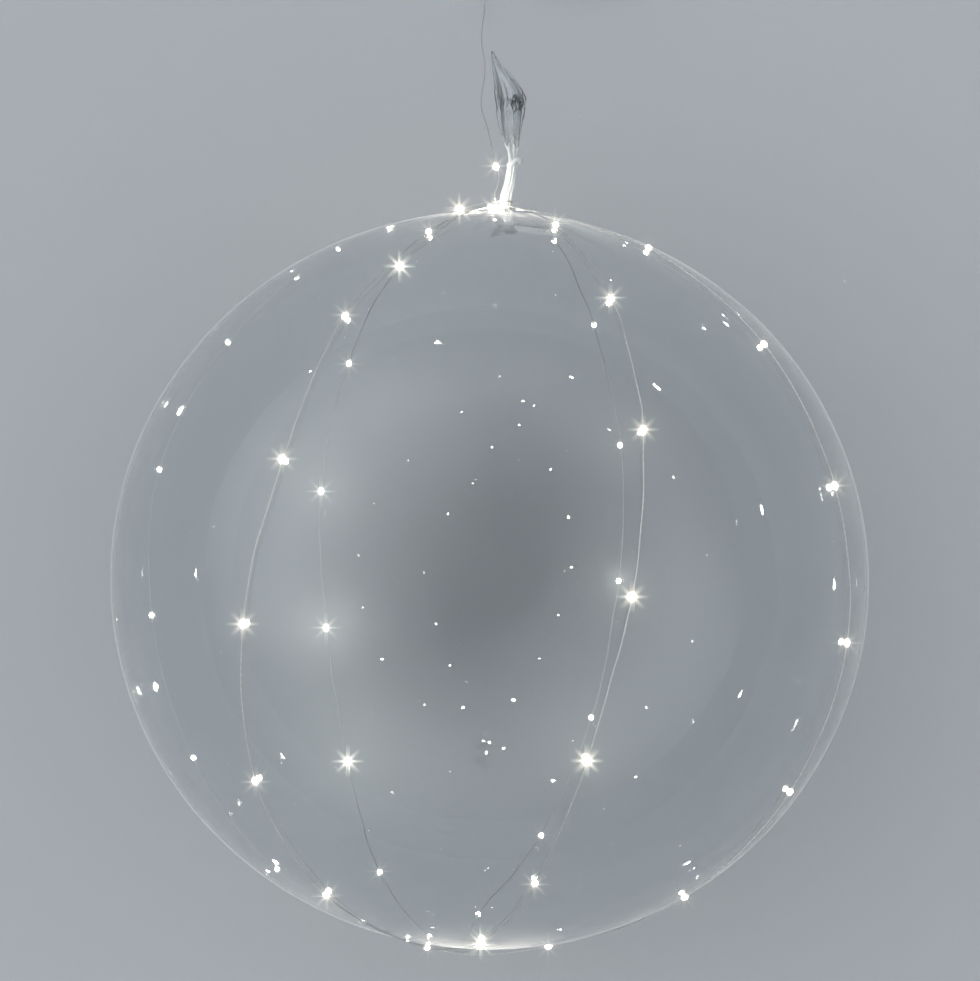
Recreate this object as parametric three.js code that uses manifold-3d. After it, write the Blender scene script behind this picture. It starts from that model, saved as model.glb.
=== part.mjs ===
// A clear bubble balloon with a string of small lamps wrapped round it from pole to pole.
// It lies on a small flat spot, with the axis from its bottom pole to its neck along +Y.
// Millimetres, +Z up. The origin is the centre of the flat spot.

import * as THREE from "three";
import { mergeVertices } from "three/addons/utils/BufferGeometryUtils.js";
import Module from "manifold-3d";

const wasm = await Module();
wasm.setup();

// Film envelope
const EQUATOR_RADIUS = 241;
const POLE_RADIUS = 234.4;
const FLAT_SPOT_RADIUS = 40;
const ENVELOPE_MERIDIANS = 44;
const ENVELOPE_PARALLELS = 22;

// Gathered neck, knot and tail
const NECK_RADIUS = 3.4;
const NECK_LENGTH = 38;
const NECK_OFFSET = 0.4;
const NECK_LEAN = 0.085;
const FLARE_RADIUS = 24;
const FLARE_SINK = 2.9;
const KNOT_DROP = 5.5;
const KNOT_OFFSET = 6;
const KNOT_RADIUS = 3.7;
const KNOT_ROLL_RADIUS = 1.7;
const KNOT_TILT = 24;
const KNOT_HALF_LENGTH = 3.5;
const TAIL_LENGTH = 67.5;
const TAIL_WIDTH = 16.6;
const TAIL_DEPTH = 6.2;
const TAIL_DROOP = 14;
const PLEATS = 6;
const PLEAT_DEPTH = 0.16;
const PLEAT_RUNOUT = 10;
const PLEAT_TWIST = 0.02;

// Lamp string
const WIRE_DIAMETER = 1;
const CLEARANCE = 0.3;
const LAMP_DIAMETER = 3.2;
const LAMP_LENGTH = 6;
// Shoulders of a drop: their place as a share of its length and their width as a share of its radius
const LAMP_SHOULDER = [0.34, 0.82];
const LAMP_SIDES = 10;
const LAMP_BORE_SLACK = 0.55;
const WIRE_STEP = 25;
const WIRE_SIDES = 5;
const TURN_RADIUS = 4.8;
const TURN_LOWEST = 2.9;
const TURN_PITCH = 1.35;
const TURN_STEP = 40;

// Battery box, with its cover on top
const BOX_LENGTH = 70;
const BOX_WIDTH = 49;
const BOX_HEIGHT = 19;
const BOX_WALL = 1.8;
const BOX_CORNER = 4;
const BOX_PLACE = [40, 458];
const BOX_EDGE = 0.6;
const COVER_THICKNESS = 1.8;
const GRIP_RIBS = 5;
const GRIP_PITCH = 2;
const GRIP_LENGTH = 14;
const GRIP_RISE = 0.5;
const GRIP_PLACE = -25;
const GLAND_LENGTH = 5;
const GLAND_RADIUS = 2;
const KNOB_LENGTH = 4;
const KNOB_WIDTH = 3;
const KNOB_RISE = 1.6;
const KNOB_TRAVEL = 4;
const KNOB_FLANGE = 1.2;
const KNOB_FLANGE_MARGIN = 2;
const KNOB_PLACE = [22, 0];

const CENTRE_HEIGHT = Math.sqrt(EQUATOR_RADIUS ** 2 - FLAT_SPOT_RADIUS ** 2);
const wireRadius = WIRE_DIAMETER / 2;
const lampRadius = LAMP_DIAMETER / 2;

const filmMaterial = new THREE.MeshStandardMaterial({
  color: 0xdfe8ee, roughness: 0.05, metalness: 0, transparent: true, opacity: 0.35,
});
const wireMaterial = new THREE.MeshStandardMaterial({ color: 0xc9ccd0, roughness: 0.3, metalness: 0.6 });
const resinMaterial = new THREE.MeshStandardMaterial({ color: 0xf4f2e6, roughness: 0.2, metalness: 0 });
const boxMaterial = new THREE.MeshStandardMaterial({ color: 0xe9eaec, roughness: 0.45, metalness: 0 });
const knobMaterial = new THREE.MeshStandardMaterial({ color: 0x2b2d30, roughness: 0.5, metalness: 0 });

// A solid from a closed geometry: shared corners are merged and triangles of no area dropped.
function solidOf(geometry) {
  const bare = geometry.clone();
  for (const name of Object.keys(bare.attributes)) {
    if (name !== "position") bare.deleteAttribute(name);
  }
  const merged = mergeVertices(bare, 1e-4);
  const index = merged.index.array;
  const kept = [];
  for (let i = 0; i < index.length; i += 3) {
    const [a, b, c] = [index[i], index[i + 1], index[i + 2]];
    if (a !== b && b !== c && c !== a) kept.push(a, b, c);
  }
  return new wasm.Manifold(new wasm.Mesh({
    numProp: 3,
    vertProperties: new Float32Array(merged.attributes.position.array),
    triVerts: new Uint32Array(kept),
  }));
}

function geometryOf(solid) {
  const mesh = solid.getMesh();
  const geometry = new THREE.BufferGeometry();
  geometry.setAttribute("position", new THREE.BufferAttribute(new Float32Array(mesh.vertProperties), 3));
  geometry.setIndex(new THREE.BufferAttribute(new Uint32Array(mesh.triVerts), 1));
  geometry.computeVertexNormals();
  return geometry;
}

// A closed skin over rings of equally many points, each end closed by a fan round its middle.
function loft(rings) {
  const sides = rings[0].length;
  const middle = (ring) => ring.reduce((sum, p) => sum.add(p), new THREE.Vector3()).divideScalar(sides);
  const points = [...rings.flat(), middle(rings[0]), middle(rings[rings.length - 1])];
  const first = points.length - 2;
  const last = points.length - 1;
  const index = [];
  for (let side = 0; side < sides; side++) {
    const next = (side + 1) % sides;
    for (let ring = 0; ring + 1 < rings.length; ring++) {
      const low = ring * sides;
      const high = low + sides;
      index.push(low + side, low + next, high + next, low + side, high + next, high + side);
    }
    const top = (rings.length - 1) * sides;
    index.push(first, next, side, last, top + side, top + next);
  }
  const geometry = new THREE.BufferGeometry();
  geometry.setAttribute("position", new THREE.Float32BufferAttribute(points.flatMap((p) => p.toArray()), 3));
  geometry.setIndex(index);
  geometry.computeVertexNormals();
  return geometry;
}

// Rings round a line of stations { point, radius }, carried along it without twisting.
function ringsAlong(stations, sides) {
  const side = new THREE.Vector3();
  return stations.map(({ point, radius }, i) => {
    const before = stations[Math.max(i - 1, 0)].point;
    const after = stations[Math.min(i + 1, stations.length - 1)].point;
    const along = after.clone().sub(before).normalize();
    if (i === 0) side.set(0, 0, 1);
    side.addScaledVector(along, -side.dot(along)).normalize();
    const across = along.clone().cross(side);
    return Array.from({ length: sides }, (_, k) => {
      const angle = (2 * Math.PI * k) / sides;
      return point.clone()
        .addScaledVector(side, radius * Math.cos(angle))
        .addScaledVector(across, radius * Math.sin(angle));
    });
  });
}

// Film envelope: a slightly flattened ball, cut off flat below
function envelope() {
  const profile = Array.from({ length: ENVELOPE_PARALLELS + 1 }, (_, i) => {
    const latitude = Math.PI * (i / ENVELOPE_PARALLELS - 0.5);
    return new THREE.Vector2(Math.max(0, EQUATOR_RADIUS * Math.cos(latitude)), POLE_RADIUS * Math.sin(latitude));
  });
  profile[0].x = 0;
  profile[ENVELOPE_PARALLELS].x = 0;
  const ball = new THREE.LatheGeometry(profile, ENVELOPE_MERIDIANS);
  const below = new THREE.BoxGeometry(2 * EQUATOR_RADIUS, 2 * POLE_RADIUS, EQUATOR_RADIUS);
  below.translate(0, 0, -CENTRE_HEIGHT - EQUATOR_RADIUS / 2);
  return solidOf(ball).subtract(solidOf(below));
}

// The middle line and half sizes of the gathered film above the pole. Each section is
// [height above the pole, sideways, half width, half depth].
function neckSections() {
  const knot = NECK_LENGTH - KNOT_DROP;
  const tail = (share) => NECK_LENGTH + share * TAIL_LENGTH;
  const round = (height, sideways, radius) => [height, sideways, radius, radius];
  const flat = (share, sideways, wide, deep) => [
    tail(share), sideways, (wide * TAIL_WIDTH) / 2, (deep * TAIL_DEPTH) / 2,
  ];
  return [
    round(-FLARE_SINK, NECK_OFFSET, FLARE_RADIUS),
    round(-0.1, NECK_OFFSET, 0.4 * FLARE_RADIUS),
    round(1, NECK_OFFSET, 1.6 * NECK_RADIUS),
    round(2.4, 0.6, 1.13 * NECK_RADIUS),
    round(6, 0.9, 1.02 * NECK_RADIUS),
    round(12, 1.4, NECK_RADIUS),
    round(18, 3.1, 0.97 * NECK_RADIUS),
    round(24, 4.1, 0.91 * NECK_RADIUS),
    round(knot - KNOT_HALF_LENGTH, 4.9, 0.94 * NECK_RADIUS),
    round(knot, KNOT_OFFSET, KNOT_RADIUS),
    round(knot + KNOT_HALF_LENGTH, 5, 0.85 * NECK_RADIUS),
    flat(0.03, 4.8, 0.38, 0.85),
    flat(0.08, 4.1, 0.46, 0.84),
    flat(0.17, 3, 0.6, 0.87),
    flat(0.34, 2.3, 0.82, 0.95),
    flat(0.43, 2.1, 0.93, 0.98),
    flat(0.52, 2.1, 1, 1),
    flat(0.61, 1.1, 0.98, 0.96),
    flat(0.7, -1.7, 0.76, 0.84),
    flat(0.79, -5, 0.53, 0.68),
    flat(0.88, -7.9, 0.32, 0.5),
    flat(1, -10.9, 0.08, 0.24),
  ];
}

// How far the film sinks below the axis by its own weight, at a height above the pole
function droop(height) {
  return TAIL_DROOP * (Math.max(height, 0) / (NECK_LENGTH + TAIL_LENGTH)) ** 2;
}

// Neck and tail: pleated sections of the film tube, gathered to the neck and flattened in the tail
function neckAndTail() {
  const sides = 4 * PLEATS;
  const rings = neckSections().map(([height, sideways, halfWidth, halfDepth]) => {
    const gathered = Math.min(1, Math.max(0, height / PLEAT_RUNOUT));
    const twist = PLEAT_TWIST * height;
    return Array.from({ length: sides }, (_, k) => {
      const angle = (2 * Math.PI * k) / sides;
      const pleat = 1 + PLEAT_DEPTH * gathered * Math.cos(PLEATS * angle + Math.PI / 4);
      return new THREE.Vector3(
        sideways + halfWidth * pleat * Math.cos(angle + twist),
        POLE_RADIUS + height,
        -droop(height) - halfDepth * pleat * Math.sin(angle + twist),
      );
    });
  });
  return solidOf(loft(rings));
}

// Knot: a roll of the film turned once round the neck, a little askew
function knotRoll() {
  const height = NECK_LENGTH - KNOT_DROP;
  const roll = new THREE.TorusGeometry(KNOT_RADIUS - KNOT_ROLL_RADIUS / 2, KNOT_ROLL_RADIUS, 8, 14);
  roll.rotateX(Math.PI / 2);
  roll.rotateZ(THREE.MathUtils.degToRad(KNOT_TILT));
  roll.translate(KNOT_OFFSET, POLE_RADIUS + height, -droop(height));
  return solidOf(roll);
}

function film() {
  const solid = envelope().add(neckAndTail()).add(knotRoll());
  const geometry = geometryOf(solid);
  const mesh = new THREE.Mesh(geometry, filmMaterial);
  mesh.name = "film_balloon";
  mesh.position.z = CENTRE_HEIGHT;
  return mesh;
}

// A point off the film, from the balloon's centre. Azimuth 0 is up (+Z) and 90 is +X.
function offFilm(azimuth, latitude, lift) {
  const [az, lat] = [azimuth, latitude].map(THREE.MathUtils.degToRad);
  return new THREE.Vector3(
    (EQUATOR_RADIUS + lift) * Math.cos(lat) * Math.sin(az),
    (POLE_RADIUS + lift) * Math.sin(lat),
    (EQUATOR_RADIUS + lift) * Math.cos(lat) * Math.cos(az),
  );
}

// The same point, moved straight out to the given lift if it lies nearer the film than that
function keptOff(point, lift) {
  const share = Math.hypot(
    point.x / (EQUATOR_RADIUS + lift),
    point.y / (POLE_RADIUS + lift),
    point.z / (EQUATOR_RADIUS + lift),
  );
  return share < 1 ? point.clone().divideScalar(share) : point;
}

const layer = WIRE_DIAMETER + 2 * CLEARANCE;
const lampLift = lampRadius + CLEARANCE;
const lamp = (azimuth, latitude, extra = 0) => ({
  point: offFilm(azimuth, latitude, lampLift + extra), lamp: true,
});
const bend = (azimuth, latitude, extra = 0) => ({
  point: offFilm(azimuth, latitude, lampLift + extra), lamp: false,
});

// A point beside the neck, from its middle line, at a height above the pole
function besideNeck(azimuth, height, radius) {
  const turned = THREE.MathUtils.degToRad(azimuth);
  const point = new THREE.Vector3(
    NECK_OFFSET + NECK_LEAN * height + radius * Math.sin(turned),
    POLE_RADIUS + height,
    -droop(height) + radius * Math.cos(turned),
  );
  return { point, lamp: false, fine: true };
}

// Points of the wire where it winds round the neck, from one azimuth and level on to another.
// It starts and ends square to the azimuths that the wire comes from and goes to, so it leaves
// the neck straight. The levels are counted in turns from the lowest one.
function neckTurn(from, to, level, lastLevel) {
  const steps = Math.max(2, Math.round(Math.abs(to - from) / TURN_STEP));
  return Array.from({ length: steps + 1 }, (_, i) => {
    const share = i / steps;
    const height = TURN_LOWEST + (level + share * (lastLevel - level)) * TURN_PITCH;
    return besideNeck(from + share * (to - from), height, TURN_RADIUS);
  });
}

// The string, from the lead: three rounds from the neck over the bottom pole and back.
// Azimuths and latitudes are those of the lamps, about 100 mm apart.
const stringRoute = [
  besideNeck(-40, 6.2, 9),
  ...neckTurn(-48, 245, 0, 0.82),
  lamp(-45, 87.2, 1),
  lamp(-25, 64), lamp(-29.8, 41.3), lamp(-31.7, 17.3), lamp(-35.7, -6.1), lamp(-39.3, -30.1),
  lamp(-39.9, -53.9), lamp(-42, -79),
  bend(-90, -87.2),
  lamp(179.5, -72.6), lamp(164.4, -49.8), lamp(159.8, -25.5), lamp(157.6, -1.1), lamp(156.5, 23),
  lamp(156.4, 47.4), lamp(153.3, 71.5),
  ...neckTurn(243, 292, 1.9, 2.05),
  lamp(2, 87.2, 2.5),
  lamp(22.3, 69.2), lamp(23.1, 46.7), lamp(22.3, 23.5), lamp(19.4, -0.1), lamp(15.4, -23.6),
  lamp(11.5, -46.8), lamp(2.2, -68.3),
  bend(-50, -86.3, layer),
  lamp(-126, -81.2, 0.4 * layer), lamp(-147.2, -59.6), lamp(-151.7, -35.3), lamp(-151.3, -11),
  lamp(-149.2, 12.7), lamp(-148, 36.8), lamp(-145.3, 60.7),
  lamp(-162, 85.8, 3),
  ...neckTurn(125, -14, 3.1, 3.3),
  lamp(-103.6, 83.3, 2),
  lamp(-105.6, 63), lamp(-109.3, 38.9), lamp(-108.4, 15.4), lamp(-110.5, -8.5), lamp(-109.9, -32.8),
  lamp(-105.1, -55.9), lamp(-105.4, -79.2, layer),
  bend(-104, -88, 2.9 * layer),
  lamp(84, -79, 0.6 * layer), lamp(62.1, -53.5), lamp(63.9, -30.6), lamp(64.5, -6.7), lamp(62.4, 16.5),
  lamp(60.5, 40), lamp(55.3, 62.9),
  bend(60, 86.5), besideNeck(66, 1.6, 7.6),
];

// Wire stations along the route: close together round the neck, WIRE_STEP apart on the film,
// with each lamp as a swelling of its own length.
function stringStations() {
  const curve = new THREE.CatmullRomCurve3(stringRoute.map((stop) => stop.point), false, "centripetal");
  const last = stringRoute.length - 1;
  const filmLift = wireRadius + CLEARANCE + WIRE_STEP ** 2 / (8 * EQUATOR_RADIUS);
  const stations = [];
  stringRoute.forEach((stop, i) => {
    const along = curve.getTangent(i / last);
    const [place, width] = LAMP_SHOULDER;
    const shoulder = width * lampRadius;
    const swell = stop.lamp
      ? [[-0.5, wireRadius], [-place, shoulder], [0, lampRadius], [place, shoulder], [0.5, wireRadius]]
      : [[0, wireRadius]];
    for (const [share, radius] of swell) {
      stations.push({ point: stop.point.clone().addScaledVector(along, share * LAMP_LENGTH), radius });
    }
    if (i === last) return;
    const gap = stop.point.distanceTo(stringRoute[i + 1].point);
    const steps = stop.fine && stringRoute[i + 1].fine ? 1 : Math.max(1, Math.round(gap / WIRE_STEP));
    for (let k = 1; k < steps; k++) {
      const point = curve.getPoint((i + k / steps) / last);
      stations.push({ point: keptOff(point, filmLift), radius: wireRadius });
    }
  });
  return stations;
}

function lightString() {
  const mesh = new THREE.Mesh(loft(ringsAlong(stringStations(), WIRE_SIDES)), wireMaterial);
  mesh.name = "light_string";
  mesh.position.z = CENTRE_HEIGHT;
  return mesh;
}

// The lead, from the neck down to the floor and along it to the battery box
const LEAD_ROUTE = [
  [-5.2, 241.9, 244.6], [-5.6, 245.8, 245], [-4, 251.8, 243.8], [-3.2, 257.4, 241.6], [-5.5, 263.7, 238.8],
  [-7.2, 269.3, 235], [-9.8, 281.6, 227], [-12.4, 292.4, 216.5], [-16, 303.7, 202],
  [-16.9, 314.2, 186], [-16.1, 324.6, 168], [-15.5, 334.4, 150], [-15.7, 345.5, 128],
  [-18.5, 362.2, 92], [-19.2, 376.1, 60], [-18.9, 387.9, 33], [-18.3, 398.9, 13],
  [-18.4, 408.6, 4.2], [-20.8, 420.5, 1.2], [-29, 434, 0.7], [-46, 443, 0.6],
  [-66, 449, 0.6], [-80, 461, 0.6], [-80, 477, 0.6], [-66, 486, 0.6],
  [-50, 481, 0.6], [-37, 468, 0.6], [-22, 459.5, 1.6], [-9, 458, 4.2], [-0.3, 458, 5],
];
const LEAD_STEPS = 76;
const LEAD_SIDES = 8;
const FIRST_LAMP = 4;

function leadCurve() {
  return new THREE.CatmullRomCurve3(LEAD_ROUTE.map((p) => new THREE.Vector3(...p)), false, "centripetal");
}

function leadWire() {
  const section = new THREE.Shape(Array.from({ length: LEAD_SIDES }, (_, k) => {
    const angle = (2 * Math.PI * k) / LEAD_SIDES;
    return new THREE.Vector2(wireRadius * Math.cos(angle), wireRadius * Math.sin(angle));
  }));
  const tube = new THREE.ExtrudeGeometry(section, { steps: LEAD_STEPS, extrudePath: leadCurve() });
  const mesh = new THREE.Mesh(tube, wireMaterial);
  mesh.name = "lead_wire";
  return mesh;
}

// The first lamp, a resin drop round the lead
function leadLamp() {
  const bore = wireRadius + LAMP_BORE_SLACK;
  const half = LAMP_LENGTH / 2;
  const profile = [
    [bore, -half], [0.8 * lampRadius, -half], [lampRadius, -0.5 * half], [lampRadius, 0.5 * half],
    [0.8 * lampRadius, half], [bore, half], [bore, -half],
  ].map(([r, y]) => new THREE.Vector2(r, y));
  const mesh = new THREE.Mesh(new THREE.LatheGeometry(profile, LAMP_SIDES), resinMaterial);
  mesh.name = "lead_lamp";
  const share = FIRST_LAMP / (LEAD_ROUTE.length - 1);
  mesh.position.copy(leadCurve().getPoint(share));
  mesh.quaternion.setFromUnitVectors(new THREE.Vector3(0, 1, 0), leadCurve().getTangent(share));
  return mesh;
}

// A slab with round corners, from z = low up, with its edges above and below cut by edge
function slab(length, width, corner, low, height, edge = 0) {
  const [x, y] = [length / 2, width / 2];
  const outline = new THREE.Shape();
  outline.moveTo(-x + corner, -y);
  outline.lineTo(x - corner, -y);
  outline.absarc(x - corner, -y + corner, corner, -Math.PI / 2, 0);
  outline.absarc(x - corner, y - corner, corner, 0, Math.PI / 2);
  outline.absarc(-x + corner, y - corner, corner, Math.PI / 2, Math.PI);
  outline.absarc(-x + corner, -y + corner, corner, Math.PI, 1.5 * Math.PI);
  outline.closePath();
  const geometry = new THREE.ExtrudeGeometry(outline, {
    depth: height - 2 * edge,
    bevelEnabled: edge > 0,
    bevelThickness: edge,
    bevelSize: edge,
    bevelOffset: -edge,
    bevelSegments: 1,
    curveSegments: 3,
  });
  geometry.translate(0, 0, low + edge);
  return solidOf(geometry);
}

const housingHeight = BOX_HEIGHT - COVER_THICKNESS - CLEARANCE;
const glandHeight = LEAD_ROUTE[LEAD_ROUTE.length - 1][2];

function batteryHousing() {
  const gland = new THREE.CylinderGeometry(GLAND_RADIUS, GLAND_RADIUS, GLAND_LENGTH + BOX_WALL / 2, 12);
  gland.rotateZ(Math.PI / 2);
  gland.translate(-BOX_LENGTH / 2 - GLAND_LENGTH / 2 + BOX_WALL / 4, 0, glandHeight);
  const inside = slab(
    BOX_LENGTH - 2 * BOX_WALL, BOX_WIDTH - 2 * BOX_WALL, BOX_CORNER - BOX_WALL, BOX_WALL, BOX_HEIGHT,
  );
  const shell = slab(BOX_LENGTH, BOX_WIDTH, BOX_CORNER, 0, housingHeight, BOX_EDGE);
  const solid = shell.add(solidOf(gland)).subtract(inside);
  const mesh = new THREE.Mesh(geometryOf(solid), boxMaterial);
  mesh.name = "battery_housing";
  return mesh;
}

function batteryCover() {
  const slot = new THREE.BoxGeometry(
    KNOB_LENGTH + KNOB_TRAVEL + 2 * CLEARANCE, KNOB_WIDTH + 2 * CLEARANCE, 4 * COVER_THICKNESS,
  );
  slot.translate(KNOB_PLACE[0], KNOB_PLACE[1], 0);
  let solid = slab(BOX_LENGTH, BOX_WIDTH, BOX_CORNER, 0, COVER_THICKNESS, BOX_EDGE).subtract(solidOf(slot));
  for (let i = 0; i < GRIP_RIBS; i++) {
    const rib = new THREE.CylinderGeometry(GRIP_RISE, 2 * GRIP_RISE, 2 * GRIP_RISE, 4);
    rib.rotateY(Math.PI / 4);
    rib.rotateX(Math.PI / 2);
    rib.scale(1, GRIP_LENGTH / (2 * GRIP_RISE * Math.SQRT2), 1);
    rib.translate(GRIP_PLACE + i * GRIP_PITCH, 0, COVER_THICKNESS);
    solid = solid.add(solidOf(rib));
  }
  const mesh = new THREE.Mesh(geometryOf(solid), boxMaterial);
  mesh.name = "battery_cover";
  mesh.position.z = BOX_HEIGHT - COVER_THICKNESS;
  return mesh;
}

// The slide switch: a knob that stands up through the cover's slot, on a flange below it
function switchKnob() {
  const flangeTop = -CLEARANCE;
  const flange = new THREE.BoxGeometry(
    KNOB_LENGTH + 2 * KNOB_TRAVEL, KNOB_WIDTH + 2 * KNOB_FLANGE_MARGIN, KNOB_FLANGE,
  );
  flange.translate(0, 0, flangeTop - KNOB_FLANGE / 2);
  const height = CLEARANCE + COVER_THICKNESS + KNOB_RISE + KNOB_FLANGE / 2;
  const knob = new THREE.BoxGeometry(KNOB_LENGTH, KNOB_WIDTH, height);
  knob.translate(0, 0, flangeTop - KNOB_FLANGE / 2 + height / 2);
  const mesh = new THREE.Mesh(geometryOf(solidOf(flange).add(solidOf(knob))), knobMaterial);
  mesh.name = "switch_knob";
  mesh.position.set(KNOB_PLACE[0] - KNOB_TRAVEL / 2, KNOB_PLACE[1], BOX_HEIGHT - COVER_THICKNESS);
  return mesh;
}

const batteryBox = new THREE.Group();
batteryBox.add(batteryHousing(), batteryCover(), switchKnob());
batteryBox.position.set(BOX_PLACE[0], BOX_PLACE[1], 0);

const balloon = new THREE.Group();
balloon.add(film(), lightString(), leadWire(), leadLamp(), batteryBox);

export default balloon;
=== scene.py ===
"""A clear bubble balloon on a pale floor, wrapped in a lit wire lamp string, seen from straight above."""

import math

import bpy
import numpy as np
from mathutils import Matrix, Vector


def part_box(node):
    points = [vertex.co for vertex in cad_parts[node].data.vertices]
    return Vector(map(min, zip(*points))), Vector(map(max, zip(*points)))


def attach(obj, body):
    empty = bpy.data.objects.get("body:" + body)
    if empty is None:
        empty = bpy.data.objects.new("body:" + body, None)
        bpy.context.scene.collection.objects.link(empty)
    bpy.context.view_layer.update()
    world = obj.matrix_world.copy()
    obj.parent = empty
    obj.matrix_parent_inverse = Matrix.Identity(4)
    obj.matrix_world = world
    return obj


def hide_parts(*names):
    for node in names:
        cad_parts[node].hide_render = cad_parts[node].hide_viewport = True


bl_info = {
    "name": "Clear bubble balloon",
    "version": (1, 0, 0),
    "blender": (4, 5, 0),
    "location": "View3D > Sidebar > Balloon",
    "description": "Builds a clear film balloon, its lamp string, its lead and its battery box",
    "category": "Add Mesh",
}

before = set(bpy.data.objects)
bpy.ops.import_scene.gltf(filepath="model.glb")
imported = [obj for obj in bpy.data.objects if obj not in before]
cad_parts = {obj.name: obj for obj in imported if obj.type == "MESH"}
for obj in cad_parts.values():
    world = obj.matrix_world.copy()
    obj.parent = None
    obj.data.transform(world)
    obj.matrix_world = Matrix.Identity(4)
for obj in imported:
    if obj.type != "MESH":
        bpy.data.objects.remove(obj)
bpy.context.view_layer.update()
FILM_LOW, FILM_HIGH = (np.array(corner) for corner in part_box("film_balloon"))

# Sizes of the film that the frame gives, in metres
EQUATOR_RADIUS = float(FILM_HIGH[0])
POLE_RADIUS = float(-FILM_LOW[1])
CENTRE_HEIGHT = float(FILM_HIGH[2] - EQUATOR_RADIUS)
CENTRE = np.array([0.0, 0.0, CENTRE_HEIGHT])
MM = 0.001

# The envelope: points round it, rings from pole to pole and how they crowd, the hole at the bottom pole in
# radians, how softly it meets the floor, its unevenness as a share of its size, and the faint radial
# creases at the top pole, with the degrees over which they fade and the radius inside which they die out
FILM_SIDES = 208
ENVELOPE_ROWS = 92
ENVELOPE_CROWDING = 0.97
POLE_HOLE = 0.004
FLOOR_SOFTNESS = 1.3 * MM
UNEVENNESS = 0.00045
UNEVENNESS_LENGTH = 0.16
CREASE_HEIGHT = 0.35 * MM
CREASE_FADE = 13
CREASE_START_RADIUS = 0.03

# Gathered film above the top pole, in millimetres:
# height above the pole, sideways, half width, half depth, depth of the folds as a share
GATHER = np.array([
    [-1.1, 0.4, 22.0, 22.0, 0.01],
    [-0.7, 0.4, 15.0, 15.0, 0.03],
    [0.0, 0.4, 9.4, 9.4, 0.07],
    [1.0, 0.4, 5.6, 5.6, 0.12],
    [2.4, 0.6, 3.8, 3.8, 0.16],
    [6.0, 0.9, 3.4, 3.4, 0.20],
    [12.0, 1.4, 3.3, 3.3, 0.22],
    [18.0, 3.1, 3.2, 3.2, 0.24],
    [24.0, 4.1, 3.0, 3.0, 0.24],
    [29.0, 4.9, 3.1, 3.1, 0.22],
    [32.5, 6.0, 3.5, 3.5, 0.20],
    [36.0, 5.0, 2.8, 2.8, 0.24],
    [40.0, 4.8, 3.2, 2.7, 0.28],
    [43.4, 4.1, 3.9, 2.7, 0.30],
    [49.5, 3.0, 5.1, 2.8, 0.32],
    [61.0, 2.3, 6.9, 2.9, 0.34],
    [67.0, 2.1, 7.7, 3.0, 0.36],
    [73.1, 2.1, 8.3, 3.1, 0.36],
    [79.2, 1.1, 8.1, 3.0, 0.34],
    [85.3, -1.7, 6.3, 2.6, 0.32],
    [91.3, -5.0, 4.4, 2.1, 0.28],
    [97.4, -7.9, 2.7, 1.5, 0.22],
    [105.5, -10.9, 0.6, 0.6, 0.12],
])

# The step of the smooth lines through those rows and how far the tail's tip sinks, in millimetres
GATHER_STEP = 0.4
TAIL_DROOP = 14.0

# The knot, in millimetres
KNOT_HEIGHT = 32.5
KNOT_SIDEWAYS = 6.0
KNOT_RINGS = 96
KNOT_SIDES = 24

# The crumple in the tail and the unevenness that grows towards the tip, in millimetres
CRUMPLE_HEIGHT = 71.0
CRUMPLE_SIDEWAYS = 5.9
CRUMPLE_RADIUS = 5.8
LARGE_CRUMPLE = 1.3
SMALL_CRUMPLE = 1.0
LARGE_CRUMPLE_LENGTH = 6.5
SMALL_CRUMPLE_LENGTH = 2.6
TAIL_UNEVENNESS = 0.22
TAIL_START = 45
TAIL_BLEND = 25

# Where the film is gathered: its rings and how they crowd at the pole, then for each band the height above
# the pole in millimetres at which it starts, its material and how milky it is
GATHER_ROWS = 140
GATHER_CROWDING = 1.15
GATHER_BANDS = [
    (1.0, "tightly_gathered_film", 0.72), (43.0, "loosely_gathered_film", 0.4),
    (48.0, "film_near_the_knot", 0.2), (54.0, "film_of_the_tail", 0.08), (63.0, "film_of_the_tip", 0.03),
]

# Azimuth and latitude of each lamp in degrees, down one side and up the other, with the wire's extra
# height off the film in layers where rounds cross, and how bright the lamp looks beside the others, by
# how its chip faces the camera
ROUND_ONE = [
    (-45, 87.2, 0.7, 0.9), (-25, 64, 0, 0.8), (-29.8, 41.3, 0, 0.85), (-31.7, 17.3, 0, 1.15),
    (-35.7, -6.1, 0, 1.5), (-39.3, -30.1, 0, 0.9), (-39.9, -53.9, 0, 1.2), (-42, -79, 0, 0.5), None,
    (179.5, -72.6, 0, 0.3), (164.4, -49.8, 0, 0.5), (159.8, -25.5, 0, 0.25), (157.6, -1.1, 0, 0.28),
    (156.5, 23, 0, 0.4), (156.4, 47.4, 0, 0.33), (153.3, 71.5, 0, 0.4),
]
ROUND_TWO = [
    (2, 87.2, 1.6, 1.4), (22.3, 69.2, 0, 1.25), (23.1, 46.7, 0, 1.7), (22.3, 23.5, 0, 1.4),
    (19.4, -0.1, 0, 1.7), (15.4, -23.6, 0, 2.4), (11.5, -46.8, 0, 1.0), (2.2, -68.3, 0, 4.0), None,
    (-126, -81.2, 0.4, 0.7), (-147.2, -59.6, 0, 1.0), (-151.7, -35.3, 0, 4.0), (-151.3, -11, 0, 1.5),
    (-149.2, 12.7, 0, 1.3), (-148, 36.8, 0, 0.9), (-145.3, 60.7, 0, 9.0), (-162, 85.8, 2, 2.0),
]
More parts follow.
